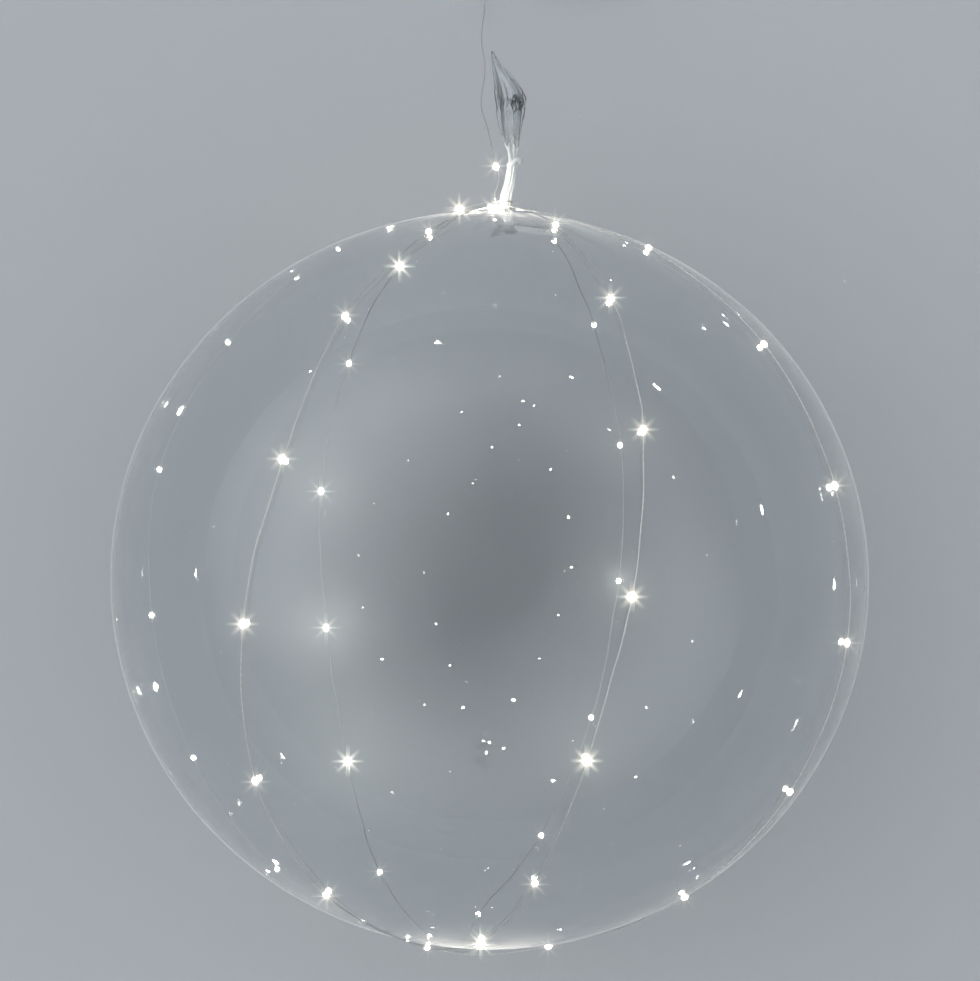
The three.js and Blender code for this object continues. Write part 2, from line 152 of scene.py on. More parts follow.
ROUND_THREE = [
    (-103.6, 83.3, 1.3, 1.8), (-105.6, 63, 0, 0.15), (-109.3, 38.9, 0, 0.12), (-108.4, 15.4, 0, 0.2),
    (-110.5, -8.5, 0, 0.13), (-109.9, -32.8, 0, 0.2), (-105.1, -55.9, 0, 0.2), (-105.4, -79.2, 1, 0.4),
    None, (84, -79, 0.6, 0.6), (62.1, -53.5, 0, 0.45), (63.9, -30.6, 0, 0.25), (64.5, -6.7, 0, 0.65),
    (62.4, 16.5, 0, 0.9), (60.5, 40, 0, 0.35), (55.3, 62.9, 0, 0.3),
]
LEAD_LAMP_SHARE = 0.9

# Where each round bends under the bottom pole, in the same numbers as the lamps
POLE_BENDS = [(-90, -87.2, 0), (-50, -86.3, 1), (-104, -88, 2.9)]

# The neck and the wire's turns round it, and the string's height off the film, in millimetres
NECK_OFFSET = 0.4
NECK_LEAN = 0.085
TURN_RADIUS = 4.8
TURN_LOWEST = 2.9
TURN_PITCH = 1.35
WIRE_CLEARANCE = 0.25
LAYER = 1.6

# Steps in metres along the lead and the string, the lengths of the string's small bends, the steps over
# which they fade at a lamp and the metres over which they fade at the neck, and the least gap between wire
# and film
LEAD_STEP = 1.5 * MM
STRING_STEP = 2.2 * MM
LONG_BEND = 0.085
SHORT_BEND = 0.032
BEND_FADE_STEPS = 6
NECK_FADE = 0.02
WIRE_GAP = 0.12 * MM

# The light that each lamp throws: its size and its distance from the lamp, in metres
LIGHT_RADIUS = 1.5 * MM
LIGHT_OFFSET = 4 * MM

# The drops: rings and sides, how far the glow of the chip reaches as a share of half the drop, and the
# faint glow in the rest of the drop
DROP_RINGS = 25
DROP_SIDES = 14
GLOW_REACH = 0.3
GLOW_LEAST = 0.003

# The lead's route, in metres: from the neck down to the floor and along it to the battery box, and which of
# its points is the lamp
LEAD_ROUTE = MM * np.array([
    [-5.2, 241.9, 244.6], [-5.6, 245.8, 245], [-4, 251.8, 243.8], [-3.2, 257.4, 241.6], [-5.5, 263.7, 238.8],
    [-7.2, 269.3, 235], [-9.8, 281.6, 227], [-12.4, 292.4, 216.5], [-16, 303.7, 202],
    [-16.9, 314.2, 186], [-16.1, 324.6, 168], [-15.5, 334.4, 150], [-15.7, 345.5, 128],
    [-18.5, 362.2, 92], [-19.2, 376.1, 60], [-18.9, 387.9, 33], [-18.3, 398.9, 13],
    [-18.4, 408.6, 4.2], [-20.8, 420.5, 1.2], [-29, 434, 0.7], [-46, 443, 0.6],
    [-66, 449, 0.6], [-80, 461, 0.6], [-80, 477, 0.6], [-66, 486, 0.6],
    [-50, 481, 0.6], [-37, 468, 0.6], [-22, 459.5, 1.6], [-9, 458, 4.2], [-0.3, 458, 5],
])
LEAD_LAMP = 4

# The camera, from the photo: it looks straight down, eight balloon radii above the balloon's middle. It is
# aimed in millimetres and turned in degrees
PHOTO_SIDE = 981
FOCAL_PIXELS = 3012
SENSOR = 36.0
CAMERA_RADII = 8
CAMERA_AIM = (-1.76, 56.62)
CAMERA_LEAN = 2.1

# The floor's rim and how far it lies under the balloon, in metres
FLOOR_RADIUS = 7.0
FLOOR_SIDES = 96
FLOOR_GAP = 0.25 * MM

# Where the soft patch of light is, seen from the balloon
SOFTBOX_DIRECTION = (-0.72, 0.36, 0.59)


# Colours and nodes

def linear(code):
    """A hex sRGB colour as the linear red, green, blue and alpha that shader sockets take."""
    parts = [int(code[i:i + 2], 16) / 255 for i in (1, 3, 5)]
    return tuple(c / 12.92 if c <= 0.04045 else ((c + 0.055) / 1.055) ** 2.4 for c in parts) + (1.0,)


def add(tree, kind, settings=None, links=None):
    """Adds a node: settings are its properties or the values of its sockets, links are socket to output."""
    node = tree.nodes.new(kind)
    for name, value in (settings or {}).items():
        if isinstance(name, str) and hasattr(node, name):
            setattr(node, name, value)
        else:
            node.inputs[name].default_value = value
    for name, output in (links or {}).items():
        tree.links.new(output, node.inputs[name])
    return node


def noise(tree, scale, detail, **more):
    """Smooth noise through the object's own space, with scale lumps in a metre."""
    place = add(tree, "ShaderNodeTexCoord")
    return add(tree, "ShaderNodeTexNoise", {"Scale": scale, "Detail": detail, **more},
               {"Vector": place.outputs["Object"]})


def new_material(name):
    """An empty material and its node tree."""
    material = bpy.data.materials.new(name)
    material.use_nodes = True
    material.node_tree.nodes.clear()
    return material, material.node_tree


def finish_material(tree, surface):
    """Leads a shader into the material's output."""
    add(tree, "ShaderNodeOutputMaterial", {}, {"Surface": surface.outputs[0]})


# Mesh making

def mesh_piece(name, points, faces, material, attributes=None):
    """A smooth mesh object from an array of points and an array of quads or triangles."""
    mesh = bpy.data.meshes.new(name)
    mesh.from_pydata(points.tolist(), [], faces.tolist())
    for key, values in (attributes or {}).items():
        layer = mesh.attributes.new(key, "FLOAT", "POINT")
        layer.data.foreach_set("value", np.asarray(values, np.float32))
    mesh.polygons.foreach_set("use_smooth", np.ones(len(mesh.polygons), bool))
    mesh.materials.append(material)
    mesh.update()
    piece = bpy.data.objects.new(name, mesh)
    bpy.context.scene.collection.objects.link(piece)
    return piece


def grid_faces(rows, columns, looped=False):
    """Quads between neighbours of rings of points, and from the last ring to the first where looped."""
    row = np.arange(rows if looped else rows - 1)[:, None] * columns
    after = (row + columns) % (rows * columns)
    column = np.arange(columns)[None]
    beside = (column + 1) % columns
    return np.stack([row + column, row + beside, after + beside, after + column], axis=-1).reshape(-1, 4)


def through(points, step):
    """A smooth line through points: centripetal Catmull-Rom pieces, each cut about step apart.

    Each piece blends straight lines between four neighbours, with knots spaced by the square root of
    their distances. Gives the line and the index of each given point in it.
    """
    points = np.asarray(points, float)
    ends = np.vstack([2 * points[0] - points[1], points, 2 * points[-1] - points[-2]])
    line, places = [], []
    count = 0
    for a, b, c, d in zip(ends[:-3], ends[1:-2], ends[2:-1], ends[3:]):
        gaps = [np.linalg.norm(q - p) for p, q in ((a, b), (b, c), (c, d))]
        knots = np.cumsum([0] + [math.sqrt(max(gap, 1e-9)) for gap in gaps])
        pieces = max(1, round(float(np.linalg.norm(c - b)) / step))
        t = np.linspace(knots[1], knots[2], pieces, endpoint=False)[:, None]
        lerp = lambda p, q, i, j: ((knots[j] - t) * p + (t - knots[i]) * q) / (knots[j] - knots[i])
        first, middle, last = lerp(a, b, 0, 1), lerp(b, c, 1, 2), lerp(c, d, 2, 3)
        left, right = lerp(first, middle, 0, 2), lerp(middle, last, 1, 3)
        line.append(lerp(left, right, 1, 2))
        places.append(count)
        count += pieces
    return np.vstack([*line, points[-1:]]), np.array(places + [count])


def carried_frames(line):
    """Unit vectors along a line and two square to it, carried on from point to point without twist.

    The first side is any direction square to the line.
    """
    along = np.gradient(line, axis=0)
    along /= np.linalg.norm(along, axis=1)[:, None]
    side = np.empty_like(line)
    held = np.cross(along[0], [0.3, 0.2, 1.0])
    for i, direction in enumerate(along):
        held = held - direction * (held @ direction)
        held /= np.linalg.norm(held)
        side[i] = held
    return along, side, np.cross(along, side)


def tube(line, radius, sides):
    """Points and faces of a closed round tube: circles of the given radius carried along a line."""
    _, side, across = carried_frames(line)
    angle = ring_of(sides)
    rings = line[:, None] + radius * (
        np.cos(angle)[None, :, None] * side[:, None] + np.sin(angle)[None, :, None] * across[:, None]
    )
    return closed_ends(rings)


def closed_ends(rings):
    """Points and faces of a skin over rings, with a fan of triangles over each end."""
    count, sides = rings.shape[:2]
    points = np.vstack([rings.reshape(-1, 3), rings[0].mean(0), rings[-1].mean(0)])
    quads = grid_faces(count, sides)
    ring = np.arange(sides)
    beside = (ring + 1) % sides
    top = (count - 1) * sides
    low = np.stack([np.full(sides, count * sides), beside, ring], axis=1)
    high = np.stack([np.full(sides, count * sides + 1), top + ring, top + beside], axis=1)
    return points, quads, np.vstack([low, high])


def joined(parts):
    """One array of points and one of faces from several (points, quads, triangles)."""
    points, faces, start = [], [], 0
    for part_points, quads, triangles in parts:
        points.append(part_points)
        faces += (quads + start).tolist() + (triangles + start).tolist()
        start += len(part_points)
    return np.vstack(points), np.array(faces, object)


def ring_of(sides):
    """Angles of a ring's points in radians, the first at 0."""
    return np.linspace(0, 2 * math.pi, sides, endpoint=False)


def waves(points, scale, seed, count=5):
    """A smooth random height over points: a sum of sine waves of about one length in random directions."""
    draw = np.random.default_rng(seed)
    total = np.zeros(len(points))
    for _ in range(count):
        direction = draw.normal(size=3)
        direction *= 2 * math.pi / (scale * draw.uniform(0.7, 1.4) * np.linalg.norm(direction))
        total += np.sin(points @ direction + draw.uniform(0, 2 * math.pi))
    return total / math.sqrt(count)


# Materials

def film_material(settings):
    """Polyurethane film, blown and stretched: clear and glossy, with a pale rim where it is seen edge on.

    Slow waves in it break the lamps' reflections into small glints.
    """
    material, tree = new_material("blown_polyurethane_film")
    slow = noise(tree, 1 / (9 * MM), 0.0)
    bump = add(tree, "ShaderNodeBump", {"Distance": settings.wave_depth, "Strength": 1.0},
               {"Height": slow.outputs["Fac"]})
    surface = add(tree, "ShaderNodeBsdfPrincipled", {
        "Base Color": linear(settings.colour_code), "Roughness": 0.0, "IOR": settings.ior,
        "Transmission Weight": 1.0, "Sheen Weight": settings.haze, "Sheen Roughness": 0.22,
    }, {"Normal": bump.outputs["Normal"]})
    finish_material(tree, surface)
    return material


def gathered_material(settings, name, milk):
    """The same film pressed together in many folds at the neck: milky, so it glows with the lamps on it."""
    material, tree = new_material(name)
    creases = noise(tree, 1 / (2.5 * MM), 3.0, Roughness=0.6)
    bump = add(tree, "ShaderNodeBump", {"Distance": 0.25 * MM, "Strength": 0.7},
               {"Height": creases.outputs["Fac"]})
    surface = add(tree, "ShaderNodeBsdfPrincipled", {
        "Base Color": linear(settings.colour_code), "IOR": settings.ior, "Roughness": 0.1 + 0.25 * milk,
        "Transmission Weight": 1 - milk,
    }, {"Normal": bump.outputs["Normal"]})
    finish_material(tree, surface)
    return material


def wire_material():
    """Lacquered copper wire, tinned: silvery with faint warm patches where the lacquer is thin."""
    material, tree = new_material("lacquered_tinned_wire")
    patches = noise(tree, 1 / (9 * MM), 2.0)
    colour = add(tree, "ShaderNodeMix", {
        "data_type": "RGBA", 6: linear("#C4C2BD"), 7: linear("#F0F0EE"),
    }, {0: patches.outputs["Fac"]})
    surface = add(tree, "ShaderNodeBsdfPrincipled", {
        "Metallic": 1.0, "Roughness": 0.32,
    }, {"Base Color": colour.outputs[2]})
    finish_material(tree, surface)
    return material


def lamp_material(settings):
    """Clear epoxy drop cast over a lit white chip: brightest over the chip, dimmer in its thin ends."""
    material, tree = new_material("lit_epoxy_drop")
    glow = add(tree, "ShaderNodeAttribute", {"attribute_name": "glow"})
    power = add(tree, "ShaderNodeMath", {"operation": "MULTIPLY", 1: settings.brightness},
                {0: glow.outputs["Fac"]})
    surface = add(tree, "ShaderNodeBsdfPrincipled", {
        "Base Color": linear("#F3F1E4"), "Roughness": 0.12, "IOR": 1.52,
        "Emission Color": linear(settings.colour_code),
    }, {"Emission Strength": power.outputs[0]})
    finish_material(tree, surface)
    material.cycles.emission_sampling = "NONE"
    return material


def moulded_material(name, code, code_worn, grain_mm, roughness):
    """Moulded ABS: fine spark-eroded grain, a little lighter and smoother in worn patches."""
    material, tree = new_material(name)
    grain = noise(tree, 1 / (grain_mm * MM), 2.0)
    wear = noise(tree, 1 / (18 * MM), 4.0)
    colour = add(tree, "ShaderNodeMix", {
        "data_type": "RGBA", 6: linear(code), 7: linear(code_worn),
    }, {0: wear.outputs["Fac"]})
    rough = add(tree, "ShaderNodeMapRange", {"To Min": roughness - 0.08, "To Max": roughness + 0.08},
                {"Value": wear.outputs["Fac"]})
    bump = add(tree, "ShaderNodeBump", {"Distance": 0.03 * MM, "Strength": 0.6},
               {"Height": grain.outputs["Fac"]})
    surface = add(tree, "ShaderNodeBsdfPrincipled", {"IOR": 1.54}, {
        "Base Color": colour.outputs[2], "Roughness": rough.outputs["Result"],
        "Normal": bump.outputs["Normal"],
    })
    finish_material(tree, surface)
    return material


def floor_material(settings):
    """Matt painted board: pale, with a breath of unevenness."""
    material, tree = new_material("matt_painted_floor")
    cloud = noise(tree, 1.2, 2.0)
    colour = add(tree, "ShaderNodeMix", {
        "data_type": "RGBA", 6: linear(settings.floor_code), 7: linear(settings.floor_code_light),
    }, {0: cloud.outputs["Fac"]})
    surface = add(tree, "ShaderNodeBsdfPrincipled", {"Roughness": 0.85, "Specular IOR Level": 0.2},
                  {"Base Color": colour.outputs[2]})
    finish_material(tree, surface)
    return material


# Film shape

def film_droop(height):
    """How far the film sinks at a height above the pole, in millimetres: it grows with the square."""
    return TAIL_DROOP * (np.maximum(height, 0) / GATHER[-1, 0]) ** 2


def envelope_rows(angle, count):
    """Rings of the envelope from the bottom pole up: a flattened ball, resting on a soft-edged flat spot.

    A point at latitude b and azimuth a is (R cos b sin a, P sin b, R cos b cos a). Heights under the
    floor are lifted by the smooth maximum k log(1 + exp(z / k)).
    """
    top = math.acos(GATHER[0, 2] * MM / EQUATOR_RADIUS)
    share = np.linspace(0, 1, count) ** ENVELOPE_CROWDING
    latitude = (-math.pi / 2 + POLE_HOLE) + share * (top + math.pi / 2 - POLE_HOLE)
    flat = EQUATOR_RADIUS * np.cos(latitude)[:, None]
    x, z = flat * np.sin(angle)[None], flat * np.cos(angle)[None]
    y = np.broadcast_to(POLE_RADIUS * np.sin(latitude)[:, None], x.shape)
    points = np.stack([x, y, z], axis=-1)
    crease = np.exp(-(90 - np.degrees(latitude)) / CREASE_FADE)[:, None] * (
        np.cos(13 * angle + 0.6) + 0.6 * np.cos(29 * angle + 2.0) + 0.5 * np.cos(7 * angle)
    )[None]
    points[..., 1] += CREASE_HEIGHT * crease * np.clip(flat / CREASE_START_RADIUS, 0, 1)
    points *= 1 + UNEVENNESS * waves(points.reshape(-1, 3), UNEVENNESS_LENGTH, 5).reshape(count, -1, 1)
    above = points[..., 2] + CENTRE_HEIGHT
    points[..., 2] = FLOOR_SOFTNESS * np.logaddexp(0, above / FLOOR_SOFTNESS) - CENTRE_HEIGHT
    return points


def gather_heights(count):
    """Heights of the gathered film's rings above the pole, in millimetres, closer together at the pole."""
    share = np.linspace(0, 1, count + 1)[1:]
    return GATHER[0, 0] + share ** GATHER_CROWDING * (GATHER[-1, 0] - GATHER[0, 0])


def gather_rows(angle, height):
    """Rings of the gathered neck and the tail: flattened circles with folds that drift as they go.

    Each ring has the half width, half depth and middle of GATHER at its height, times one plus a sum of
    cosines round it. Round the crumple in the tail, short waves are added.
    """
    sideways, width, depth, fold = (smooth_column(height, column) for column in range(1, 5))
    drift = height[:, None] / 100
    turn = angle[None] + 0.5 * drift
    sharp = lambda v: 1 - 2 * np.abs(np.sin(v / 2)) ** 0.8
    folds = (
        0.62 * sharp(8 * turn + 2.5 * np.sin(3.1 * drift))
        + 0.36 * np.cos(13 * turn - 5 * drift)
        + 0.22 * np.cos(21 * turn + 9 * drift + 1.0)
    )
    swell = 1 + fold[:, None] * folds
    x = sideways[:, None] + width[:, None] * swell * np.sin(angle)[None]
    z = -film_droop(height)[:, None] + depth[:, None] * swell * np.cos(angle)[None]
    y = np.broadcast_to(height[:, None], x.shape)
    points = MM * np.stack([x, y + POLE_RADIUS / MM, z], axis=-1)
    off_middle = (x - CRUMPLE_SIDEWAYS) / CRUMPLE_RADIUS
    off_height = ((height - CRUMPLE_HEIGHT) / CRUMPLE_RADIUS)[:, None]
    crumple = np.exp(-off_height ** 2 - off_middle ** 2)[..., None]
    large = moved_aside(points, LARGE_CRUMPLE_LENGTH * MM, (11, 12, 13))
    small = moved_aside(points, SMALL_CRUMPLE_LENGTH * MM, (21, 22, 23))
    points = points + MM * crumple * (LARGE_CRUMPLE * large * [0.7, 1.2, 1.2] + SMALL_CRUMPLE * small)
    tail = np.clip((height - TAIL_START) / TAIL_BLEND, 0, 1)[:, None, None]
    return points + MM * TAIL_UNEVENNESS * tail * large


def moved_aside(points, length, seeds):
    """A smooth random move of each point in three directions, in waves of about one length."""
    flat = points.reshape(-1, 3)
    return np.stack([waves(flat, length, seed) for seed in seeds], axis=-1).reshape(points.shape)


def smooth_column(height, column):
    """A column of GATHER at each height, on a smooth line through its rows."""
    rows = np.stack([GATHER[:, 0], GATHER[:, column], 0 * GATHER[:, 0]], axis=1)
    line, _ = through(rows, GATHER_STEP)
    return np.interp(height, line[:, 0], line[:, 1])


def gather_bands(angle, height):
    """Which material each face between rings takes: 0 for the clear film, then the bands, ragged-edged."""
    ragged = height[:-1, None] + 1.6 * np.cos(8 * angle)[None] + 1.1 * np.cos(13 * angle + 1)[None]
    return np.digitize(ragged, [start for start, _, _ in GATHER_BANDS])


def film_point(azimuth, latitude, lift):
    """A place off the film in metres, from an azimuth and latitude in degrees and a lift in millimetres."""
    a, b = np.radians(azimuth), np.radians(latitude)
    return CENTRE + np.array([
        (EQUATOR_RADIUS + lift * MM) * np.cos(b) * np.sin(a),
        (POLE_RADIUS + lift * MM) * np.sin(b),
        (EQUATOR_RADIUS + lift * MM) * np.cos(b) * np.cos(a),
    ])


def kept_off(points, lift):
    """Points that are nearer to the film than the lift, in metres, moved straight out to it."""
    size = np.array([EQUATOR_RADIUS + lift, POLE_RADIUS + lift, EQUATOR_RADIUS + lift])
    share = np.linalg.norm((points - CENTRE) / size, axis=1)
    out = np.maximum(1, 1 / np.maximum(share, 1e-6))[:, None]
    return CENTRE + (points - CENTRE) * out


# The string's route

def beside_neck(azimuth, height, radius):
    """Points beside the neck in metres, from azimuths in degrees, heights and a radius in millimetres."""
    turned = np.radians(azimuth)
    return CENTRE + MM * np.stack([
        NECK_OFFSET + NECK_LEAN * height + radius * np.sin(turned), POLE_RADIUS / MM + height,
        radius * np.cos(turned) - film_droop(height),
    ], axis=-1)


def neck_turn(start, end, level, last_level):
    """Points where the wire winds round the neck from one azimuth and level on to another.

    Azimuths are in degrees, levels in turns.
    """
    share = np.linspace(0, 1, max(2, round(abs(end - start) / 40)) + 1)
    height = TURN_LOWEST + (level + share * (last_level - level)) * TURN_PITCH
    return beside_neck(start + share * (end - start), height, TURN_RADIUS)


def string_route(settings):
    """The string's points in order, and which of them are lamps.

    The wire starts and ends beside the neck and winds round it before each round of the balloon.
    """
    lift = settings.lamp_diameter / 2 / MM + WIRE_CLEARANCE
    points, lamps = [], []

    def pass_through(places, is_lamp=False):
        for place in places:
            points.append(np.asarray(place))
            lamps.append(is_lamp)

    def wrap(places, bend):
        for place in places:
            azimuth, latitude, extra = (place or bend)[:3]
            pass_through([film_point(azimuth, latitude, lift + extra * LAYER)], place is not None)

    pass_through([beside_neck(-40, 6.2, 9)])
    pass_through(neck_turn(-48, 245, 0, 0.82))
    wrap(ROUND_ONE, POLE_BENDS[0])
    pass_through(neck_turn(243, 292, 1.9, 2.05))
    wrap(ROUND_TWO, POLE_BENDS[1])
    pass_through(neck_turn(125, -14, 3.1, 3.3))
    wrap(ROUND_THREE, POLE_BENDS[2])
    pass_through([film_point(60, 86.5, lift), beside_neck(66, 1.6, 7.6)])
    return np.array(points), np.array(lamps)


def wandering(line, lamp_places, amount):
    """The line with the small bends of a wire wound by hand: slow sideways waves that fade at each lamp."""
    outward = line - CENTRE
    outward /= np.linalg.norm(outward, axis=1)[:, None]
    along = np.gradient(line, axis=0)
    sideways = np.cross(along, outward)
    sideways /= np.maximum(np.linalg.norm(sideways, axis=1), 1e-9)[:, None]
    wave = 0.6 * waves(line, LONG_BEND, 31) + 0.35 * waves(line, SHORT_BEND, 32)
    index = np.arange(len(line))
    near = np.min(np.abs(index[:, None] - np.asarray(lamp_places)[None]), axis=1)
    fade = np.clip(near / BEND_FADE_STEPS, 0, 1)
    past_neck = np.clip((POLE_RADIUS - line[:, 1]) / NECK_FADE, 0, 1)
    return line + (amount * wave * fade * past_neck)[:, None] * sideways


def twisted_pair(line, radius, pitch):
    """Two thin strands laid round each other along a line: each turns once about it in every pitch."""
    _, side, across = carried_frames(line)
    run = np.concatenate([[0], np.cumsum(np.linalg.norm(np.diff(line, axis=0), axis=1))])
    parts = []
    for phase in (0, math.pi):
        angle = (2 * math.pi * run / pitch + phase)[:, None]
        parts.append(tube(line + radius * (np.cos(angle) * side + np.sin(angle) * across), radius, 6))
    return joined(parts)


def resin_drop(middle, along, side, across, diameter, length):
    """Points and faces of one epoxy drop: a spindle with a blunt middle and drawn-out ends, and its glow.

    The glow falls off from the chip in the middle as exp(-(s / reach)^2), s running from -1 to 1 along it.
    """
    share = np.linspace(-1, 1, DROP_RINGS)
    blunt = np.sqrt(np.clip(1 - np.abs(share) ** 2.6, 0, 1))
    swell = np.maximum(0.3 * (1 - np.abs(share)) + 0.86 * blunt, 0.12)
    line = middle + share[:, None] * along * length / 2
    angle = ring_of(DROP_SIDES)
    radius = (diameter / 2 / swell.max() * swell)[:, None, None]
    ring = np.cos(angle)[None, :, None] * side + np.sin(angle)[None, :, None] * across
    part = closed_ends(line[:, None] + radius * ring)
    glow = np.repeat(GLOW_LEAST + np.exp(-(share / GLOW_REACH) ** 2), len(angle))
    return part, np.concatenate([glow, [GLOW_LEAST, GLOW_LEAST]])


# Settings

class FilmSettings(bpy.types.PropertyGroup):
    """Sizes and looks of the film"""
    wall: bpy.props.FloatProperty(
        name="Wall", description="Thickness of the film", default=0.22 * MM, min=0.0, unit="LENGTH",
        precision=5)
    colour_code: bpy.props.StringProperty(
        name="Colour", description="Tint of the film, as a hex code", default="#F8FBFC")
    ior: bpy.props.FloatProperty(
        name="IOR", description="Refraction of the film", default=1.56, subtype="FACTOR")
    haze: bpy.props.FloatProperty(
        name="Haze", description="Pale haze of the film where it is seen edge on", default=1.0,
        subtype="FACTOR")
    wave_depth: bpy.props.FloatProperty(
        name="Wave depth", description="Height of the slow waves in the film", default=0.03 * MM,
        unit="LENGTH", precision=5)


class StringSettings(bpy.types.PropertyGroup):
    """Sizes and light of the wire and its lamps"""
    strand_radius: bpy.props.FloatProperty(
        name="Strand radius", description="Radius of one of the two strands", default=0.24 * MM,
        unit="LENGTH")
    pitch: bpy.props.FloatProperty(
        name="Twist pitch", description="Length of one twist of the pair", default=9 * MM, unit="LENGTH")
    wander: bpy.props.FloatProperty(
        name="Wander", description="How far the wire bends aside between lamps", default=1.1 * MM,
        unit="LENGTH")
    lamp_diameter: bpy.props.FloatProperty(
        name="Lamp diameter", description="Width of a resin drop", default=3.2 * MM, unit="LENGTH")
    lamp_length: bpy.props.FloatProperty(
        name="Lamp length", description="Length of a resin drop", default=6.4 * MM, unit="LENGTH")
    colour_code: bpy.props.StringProperty(
        name="Light colour", description="Colour of the lamps, as a hex code", default="#FFFBEC")
    brightness: bpy.props.FloatProperty(
        name="Brightness", description="Radiance of a lamp's middle", default=200.0, subtype="FACTOR")
    watts: bpy.props.FloatProperty(
        name="Lamp power", description="Light that each lamp gives its surroundings", default=0.006,
        unit="POWER", precision=4)


class StageSettings(bpy.types.PropertyGroup):
    """Floor and light"""
    floor_code: bpy.props.StringProperty(
        name="Floor colour", description="Darker tone of the floor, as a hex code", default="#B9BCC0")
    floor_code_light: bpy.props.StringProperty(
        name="Floor light tone", description="Lighter tone of the floor, as a hex code", default="#BEC1C4")
    sky: bpy.props.FloatProperty(
        name="Sky", description="Strength of the light from above", default=0.86, subtype="FACTOR")
    sky_rim: bpy.props.FloatProperty(
        name="Sky rim", description="Strength of the light from the horizon", default=0.42,
        subtype="FACTOR")
    softbox: bpy.props.FloatProperty(
        name="Softbox", description="Strength added in the large soft patch of light", default=0.55,
        subtype="FACTOR")


# Operators

class BALLOON_OT_stage(bpy.types.Operator):
    """Camera, pale floor, soft light and the glow round bright lamps"""
    bl_idname = "balloon.stage"
    bl_label = "Stage"

    def execute(self, context):
        settings = context.scene.balloon_stage
        camera = bpy.data.objects.new("camera", bpy.data.cameras.new("camera"))
        camera.data.sensor_width = SENSOR
        camera.data.lens = FOCAL_PIXELS / PHOTO_SIDE * SENSOR
        camera.data.clip_start = 0.01
        height = CENTRE_HEIGHT + CAMERA_RADII * EQUATOR_RADIUS
        camera.location = (CAMERA_AIM[0] * MM, CAMERA_AIM[1] * MM, height)
        camera.rotation_euler = (0, 0, math.radians(CAMERA_LEAN))
        context.scene.collection.objects.link(camera)
        context.scene.camera = camera

        turn = ring_of(FLOOR_SIDES)
        rim = FLOOR_RADIUS * np.stack([np.cos(turn), np.sin(turn), 0 * turn], axis=1)
        rim[:, 2] = -FLOOR_GAP
        floor = mesh_piece("floor", rim, np.arange(FLOOR_SIDES)[None], floor_material(settings))

        world = bpy.data.worlds.new("soft_sky")
        world.use_nodes = True
        world.node_tree.nodes.clear()
        tree = world.node_tree
        place = add(tree, "ShaderNodeTexCoord")
        part = add(tree, "ShaderNodeSeparateXYZ", {}, {0: place.outputs["Generated"]})
        rise = add(tree, "ShaderNodeMapRange", {
            "interpolation_type": "SMOOTHSTEP", "From Min": -0.02, "From Max": 0.55,
            "To Min": settings.sky_rim, "To Max": settings.sky,
        }, {"Value": part.outputs["Z"]})
        toward = add(tree, "ShaderNodeVectorMath", {"operation": "DOT_PRODUCT", 1: SOFTBOX_DIRECTION},
                     {0: place.outputs["Generated"]})
        softbox = add(tree, "ShaderNodeMapRange", {
            "interpolation_type": "SMOOTHERSTEP", "From Min": 0.55, "From Max": 0.98,
            "To Min": 0.0, "To Max": settings.softbox,
        }, {"Value": toward.outputs["Value"]})
        strength = add(tree, "ShaderNodeMath", {"operation": "ADD"},
                       {0: rise.outputs["Result"], 1: softbox.outputs["Result"]})
        sky = add(tree, "ShaderNodeBackground", {"Color": linear("#EDF0F4")},
                  {"Strength": strength.outputs[0]})
        add(tree, "ShaderNodeOutputWorld", {}, {"Surface": sky.outputs[0]})
        context.scene.world = world

        context.scene.view_settings.view_transform = "Standard"
        context.scene.cycles.sample_clamp_indirect = 800.0
        context.scene.cycles.caustics_reflective = False
        context.scene.cycles.transmission_bounces = 9
        context.scene.cycles.diffuse_bounces = 1
        context.scene.cycles.max_bounces = 10
        context.scene.cycles.adaptive_threshold = 0.06
        context.scene.cycles.adaptive_min_samples = 16
        glow_nodes(context.scene)
        return {"FINISHED"}


def glow_nodes(scene):
    """The glow that a lens gives round bright lamps: a soft bloom and short faint streaks."""
    scene.use_nodes = True
    tree = scene.node_tree
    tree.nodes.clear()
    picture = add(tree, "CompositorNodeRLayers")
    bloom = add(tree, "CompositorNodeGlare", {
        "glare_type": "BLOOM", "quality": "HIGH", "Threshold": 1.5, "Strength": 0.08, "Size": 0.3,
        "Maximum": 1500.0, "Clamp": True, "Tint": linear("#FFF4DC"),
    }, {"Image": picture.outputs["Image"]})
    streaks = add(tree, "CompositorNodeGlare", {
        "glare_type": "STREAKS", "quality": "HIGH", "Threshold": 40.0, "Strength": 0.02, "Streaks": 8,
        "Iterations": 2, "Fade": 0.82, "Maximum": 1500.0, "Clamp": True,
    }, {"Image": bloom.outputs["Image"]})
    add(tree, "CompositorNodeComposite", {}, {"Image": streaks.outputs["Image"]})


class BALLOON_OT_lead(bpy.types.Operator):
    """The free lead from the neck to the battery box, with the first lamp on it"""
    bl_idname = "balloon.lead"
    bl_label = "Lead"

    def execute(self, context):
        settings = context.scene.balloon_string
        wire, lit = string_materials(settings)
        line, places = through(LEAD_ROUTE, LEAD_STEP)
        lead = mesh_piece("lead_pair", *twisted_pair(line, settings.strand_radius, settings.pitch), wire)
        drop = lamp_drops("lead_drop", line, [places[LEAD_LAMP]], [LEAD_LAMP_SHARE], settings, lit)
        for piece, node, slot in ((lead, "lead_wire", "wire"), (drop, "lead_lamp", "lamp_resin")):
            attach(piece, "root")
            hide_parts(node)
        lamp_light(context, line[places[LEAD_LAMP]], (0, 0, 1), settings, LEAD_LAMP_SHARE)
        return {"FINISHED"}


